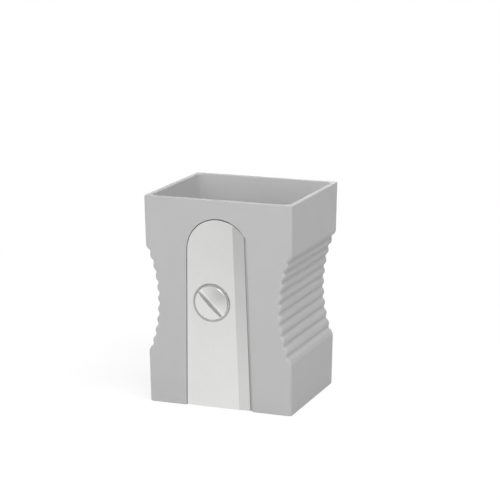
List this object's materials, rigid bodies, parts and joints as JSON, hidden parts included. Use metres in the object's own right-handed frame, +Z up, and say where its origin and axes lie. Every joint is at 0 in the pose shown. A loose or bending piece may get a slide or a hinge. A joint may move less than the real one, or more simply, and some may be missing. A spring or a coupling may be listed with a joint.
{
  "type": "pencil cup",
  "caption": "Open desk cup for pencils in the form of a wedge pencil sharpener, with a waisted body, ribbed grips and a bevelled dummy blade held by a slotted dummy screw on its front.",
  "frame": {"origin": "centre of the base, on the surface that the cup stands on", "axes": "+Z up, -Y out of the front with the blade, +X to the right seen from the front"},
  "size_m": [0.0734, 0.0657, 0.1],
  "materials": {
    "body_plastic": "moulded, fine satin, light neutral grey",
    "blade_silver": "silver lacquer over moulded plastic, satin",
    "screw_silver": "silver lacquer over moulded plastic, brighter than the blade"
  },
  "bodies": {
    "root": {"cup_body": "body_plastic", "cup_floor": "body_plastic", "blade_plate": "blade_silver", "blade_screw": "screw_silver"}
  },
  "joints": []
}
